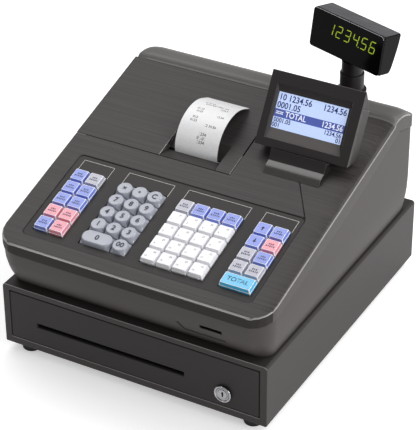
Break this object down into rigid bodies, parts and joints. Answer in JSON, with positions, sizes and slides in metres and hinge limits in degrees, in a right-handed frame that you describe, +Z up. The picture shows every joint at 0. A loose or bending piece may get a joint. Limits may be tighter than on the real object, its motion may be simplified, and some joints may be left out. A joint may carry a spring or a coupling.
{
  "type": "cash register",
  "caption": "Desktop cash register with sloping keyboard, receipt printer, tilting operator display, swivelling customer display and a locking cash drawer.",
  "frame": {"origin": "on the floor under the middle of the bounding box", "axes": "+Z up, -Y towards the operator, +X to the operator's right"},
  "size_m": [0.36, 0.4112, 0.3524],
  "materials": {
    "top_plastic": "satin, fine brushed streaks along X",
    "housing_plastic": "satin moulded plastic",
    "black_plastic": "satin",
    "gloss_black": "gloss",
    "cabinet_paint": "satin paint",
    "face_paint": "satin paint",
    "steel": "satin",
    "chrome": "polished",
    "rubber": "matte",
    "circuit_board": "satin",
    "key_grey": "satin",
    "key_blue": "gloss",
    "key_pink": "gloss",
    "key_white": "gloss",
    "key_cyan": "gloss",
    "lcd": "gloss",
    "digit_glow": "emissive",
    "clear_cap": "gloss",
    "legend_ink": "printed ink",
    "paper": "matte"
  },
  "bodies": {
    "register_base": {"cabinet_shell": "cabinet_paint", "foot_front_left": "rubber", "foot_front_right": "rubber", "foot_rear_left": "rubber", "foot_rear_right": "rubber", "runner_left": "steel", "runner_right": "steel", "lower_housing": "housing_plastic", "top_cover": "top_plastic", "keyboard_panel": "black_plastic", "keyboard_board": "circuit_board", "main_board": "circuit_board", "power_supply": "steel", "printer_frame": "black_plastic", "display_stand": "top_plastic", "display_hinge_pin": "steel", "pole_sleeve": "black_plastic", "cord_gland": "rubber"},
    "drawer": {"drawer_face": "face_paint", "drawer_tray": "cabinet_paint", "till_insert": "black_plastic", "lock_bezel": "chrome"},
    "lock_plug": {"lock_barrel": "chrome"},
    "latch": {"drawer_latch": "steel"},
    "clip_1": {"bill_clip_1": "top_plastic"},
    "clip_2": {"bill_clip_2": "top_plastic"},
    "clip_3": {"bill_clip_3": "top_plastic"},
    "clip_4": {"bill_clip_4": "top_plastic"},
    "cover": {"printer_cover": "top_plastic", "receipt_paper": "paper"},
    "roll": {"paper_roll": "paper"},
    "platen": {"platen_roller": "rubber"},
    "operator_display": {"display_front": "black_plastic", "display_rear": "housing_plastic", "lcd_module": "lcd"},
    "pole": {"customer_pole": "black_plastic"},
    "customer_display": {"customer_housing": "gloss_black", "customer_window": "gloss_black", "digit_module": "black_plastic"},
    "left_key_column_1_body": {"left_key_column_1": "key_blue"},
    "left_key_column_2_body": {"left_key_column_2": "key_blue"},
    "department_key_column_1_body": {"department_key_column_1": "key_white"},
    "department_key_column_2_body": {"department_key_column_2": "key_white"},
    "department_key_column_3_body": {"department_key_column_3": "key_white"},
    "department_key_column_4_body": {"department_key_column_4": "key_white"},
    "right_key_column_1_body": {"right_key_column_1": "key_blue"},
    "right_key_column_2_body": {"right_key_column_2": "key_blue"},
    "numeric_function_keys_body": {"numeric_function_keys": "key_grey"},
    "key_1_body": {"key_1": "key_grey"},
    "key_2_body": {"key_2": "key_grey"},
    "key_3_body": {"key_3": "key_grey"},
    "key_4_body": {"key_4": "key_grey"},
    "key_5_body": {"key_5": "key_grey"},
    "key_6_body": {"key_6": "key_grey"},
    "key_7_body": {"key_7": "key_grey"},
    "key_8_body": {"key_8": "key_grey"},
    "key_9_body": {"key_9": "key_grey"},
    "key_0_body": {"key_0": "key_grey"},
    "key_00_body": {"key_00": "key_grey"},
    "key_total_body": {"key_total": "key_cyan"}
  },
  "joints": [
    {"name": "drawer_slide", "type": "slide", "parent": "register_base", "child": "drawer", "axis": [0, -1, 0], "range_m": [0, 0.3]},
    {"name": "lock_turn", "type": "hinge", "parent": "drawer", "child": "lock_plug", "pos_m": [0.122, -0.1968, 0.041], "axis": [0, -1, 0], "range_deg": [0, 90]},
    {"name": "cover_hinge", "type": "hinge", "parent": "register_base", "child": "cover", "pos_m": [0, 0.1233, 0.2486], "axis": [-1, 0, 0], "range_deg": [0, 80]},
    {"name": "display_tilt", "type": "hinge", "parent": "register_base", "child": "operator_display", "pos_m": [0.1045, 0.0245, 0.2335], "axis": [1, 0, 0], "range_deg": [-10, 30]},
    {"name": "pole_slide", "type": "slide", "parent": "register_base", "child": "pole", "axis": [0, 0, 1], "range_m": [-0.016, 0]},
    {"name": "customer_swivel", "type": "hinge", "parent": "pole", "child": "customer_display", "pos_m": [0.1036, 0.163, 0.3], "axis": [0, 0, 1], "range_deg": [-160, 200]},
    {"name": "roll_spin", "type": "hinge", "parent": "register_base", "child": "roll", "pos_m": [-0.0256, 0.0717, 0.1876], "axis": [1, 0, 0], "continuous": true},
    {"name": "platen_spin", "type": "hinge", "parent": "register_base", "child": "platen", "pos_m": [-0.0256, 0.00487, 0.19783], "axis": [1, 0, 0], "continuous": true},
    {"name": "latch_rock", "type": "hinge", "parent": "register_base", "child": "latch", "pos_m": [0, 0.178, 0.042], "axis": [1, 0, 0], "range_deg": [0, 14]},
    {"name": "clip_1_lift", "type": "hinge", "parent": "drawer", "child": "clip_1", "pos_m": [-0.1155, 0.134, 0.07], "axis": [-1, 0, 0], "range_deg": [0, 26], "stiffness_Nm_per_rad": 0.03, "springref_deg": -17.19},
    {"name": "clip_2_lift", "type": "hinge", "parent": "drawer", "child": "clip_2", "pos_m": [-0.0385, 0.134, 0.07], "axis": [-1, 0, 0], "range_deg": [0, 26], "stiffness_Nm_per_rad": 0.03, "springref_deg": -17.19},
    {"name": "clip_3_lift", "type": "hinge", "parent": "drawer", "child": "clip_3", "pos_m": [0.0385, 0.134, 0.07], "axis": [-1, 0, 0], "range_deg": [0, 26], "stiffness_Nm_per_rad": 0.03, "springref_deg": -17.19},
    {"name": "clip_4_lift", "type": "hinge", "parent": "drawer", "child": "clip_4", "pos_m": [0.1155, 0.134, 0.07], "axis": [-1, 0, 0], "range_deg": [0, 26], "stiffness_Nm_per_rad": 0.03, "springref_deg": -17.19},
    {"name": "left_key_column_1_press", "type": "slide", "parent": "register_base", "child": "left_key_column_1_body", "axis": [0, -0.2563, 0.9666], "range_m": [-0.003, 0], "stiffness_N_per_m": 200, "springref_m": 0.0015},
    {"name": "left_key_column_2_press", "type": "slide", "parent": "register_base", "child": "left_key_column_2_body", "axis": [0, -0.2563, 0.9666], "range_m": [-0.003, 0], "stiffness_N_per_m": 200, "springref_m": 0.0015},
    {"name": "department_key_column_1_press", "type": "slide", "parent": "register_base", "child": "department_key_column_1_body", "axis": [0, -0.2563, 0.9666], "range_m": [-0.003, 0], "stiffness_N_per_m": 200, "springref_m": 0.0015},
    {"name": "department_key_column_2_press", "type": "slide", "parent": "register_base", "child": "department_key_column_2_body", "axis": [0, -0.2563, 0.9666], "range_m": [-0.003, 0], "stiffness_N_per_m": 200, "springref_m": 0.0015},
    {"name": "department_key_column_3_press", "type": "slide", "parent": "register_base", "child": "department_key_column_3_body", "axis": [0, -0.2563, 0.9666], "range_m": [-0.003, 0], "stiffness_N_per_m": 200, "springref_m": 0.0015},
    {"name": "department_key_column_4_press", "type": "slide", "parent": "register_base", "child": "department_key_column_4_body", "axis": [0, -0.2563, 0.9666], "range_m": [-0.003, 0], "stiffness_N_per_m": 200, "springref_m": 0.0015},
    {"name": "right_key_column_1_press", "type": "slide", "parent": "register_base", "child": "right_key_column_1_body", "axis": [0, -0.2563, 0.9666], "range_m": [-0.003, 0], "stiffness_N_per_m": 200, "springref_m": 0.0015},
    {"name": "right_key_column_2_press", "type": "slide", "parent": "register_base", "child": "right_key_column_2_body", "axis": [0, -0.2563, 0.9666], "range_m": [-0.003, 0], "stiffness_N_per_m": 200, "springref_m": 0.0015},
    {"name": "numeric_function_keys_press", "type": "slide", "parent": "register_base", "child": "numeric_function_keys_body", "axis": [0, -0.2563, 0.9666], "range_m": [-0.003, 0], "stiffness_N_per_m": 200, "springref_m": 0.0015},
    {"name": "key_1_press", "type": "slide", "parent": "register_base", "child": "key_1_body", "axis": [0, -0.2563, 0.9666], "range_m": [-0.003, 0], "stiffness_N_per_m": 200, "springref_m": 0.0015},
    {"name": "key_2_press", "type": "slide", "parent": "register_base", "child": "key_2_body", "axis": [0, -0.2563, 0.9666], "range_m": [-0.003, 0], "stiffness_N_per_m": 200, "springref_m": 0.0015},
    {"name": "key_3_press", "type": "slide", "parent": "register_base", "child": "key_3_body", "axis": [0, -0.2563, 0.9666], "range_m": [-0.003, 0], "stiffness_N_per_m": 200, "springref_m": 0.0015},
    {"name": "key_4_press", "type": "slide", "parent": "register_base", "child": "key_4_body", "axis": [0, -0.2563, 0.9666], "range_m": [-0.003, 0], "stiffness_N_per_m": 200, "springref_m": 0.0015},
    {"name": "key_5_press", "type": "slide", "parent": "register_base", "child": "key_5_body", "axis": [0, -0.2563, 0.9666], "range_m": [-0.003, 0], "stiffness_N_per_m": 200, "springref_m": 0.0015},
    {"name": "key_6_press", "type": "slide", "parent": "register_base", "child": "key_6_body", "axis": [0, -0.2563, 0.9666], "range_m": [-0.003, 0], "stiffness_N_per_m": 200, "springref_m": 0.0015},
    {"name": "key_7_press", "type": "slide", "parent": "register_base", "child": "key_7_body", "axis": [0, -0.2563, 0.9666], "range_m": [-0.003, 0], "stiffness_N_per_m": 200, "springref_m": 0.0015},
    {"name": "key_8_press", "type": "slide", "parent": "register_base", "child": "key_8_body", "axis": [0, -0.2563, 0.9666], "range_m": [-0.003, 0], "stiffness_N_per_m": 200, "springref_m": 0.0015},
    {"name": "key_9_press", "type": "slide", "parent": "register_base", "child": "key_9_body", "axis": [0, -0.2563, 0.9666], "range_m": [-0.003, 0], "stiffness_N_per_m": 200, "springref_m": 0.0015},
    {"name": "key_0_press", "type": "slide", "parent": "register_base", "child": "key_0_body", "axis": [0, -0.2563, 0.9666], "range_m": [-0.003, 0], "stiffness_N_per_m": 200, "springref_m": 0.0015},
    {"name": "key_00_press", "type": "slide", "parent": "register_base", "child": "key_00_body", "axis": [0, -0.2563, 0.9666], "range_m": [-0.003, 0], "stiffness_N_per_m": 200, "springref_m": 0.0015},
    {"name": "key_total_press", "type": "slide", "parent": "register_base", "child": "key_total_body", "axis": [0, -0.2563, 0.9666], "range_m": [-0.003, 0], "stiffness_N_per_m": 200, "springref_m": 0.0015}
  ],
  "couplings": [
    {"joint": "platen_spin", "follows": "roll_spin", "ratio": 5}
  ]
}
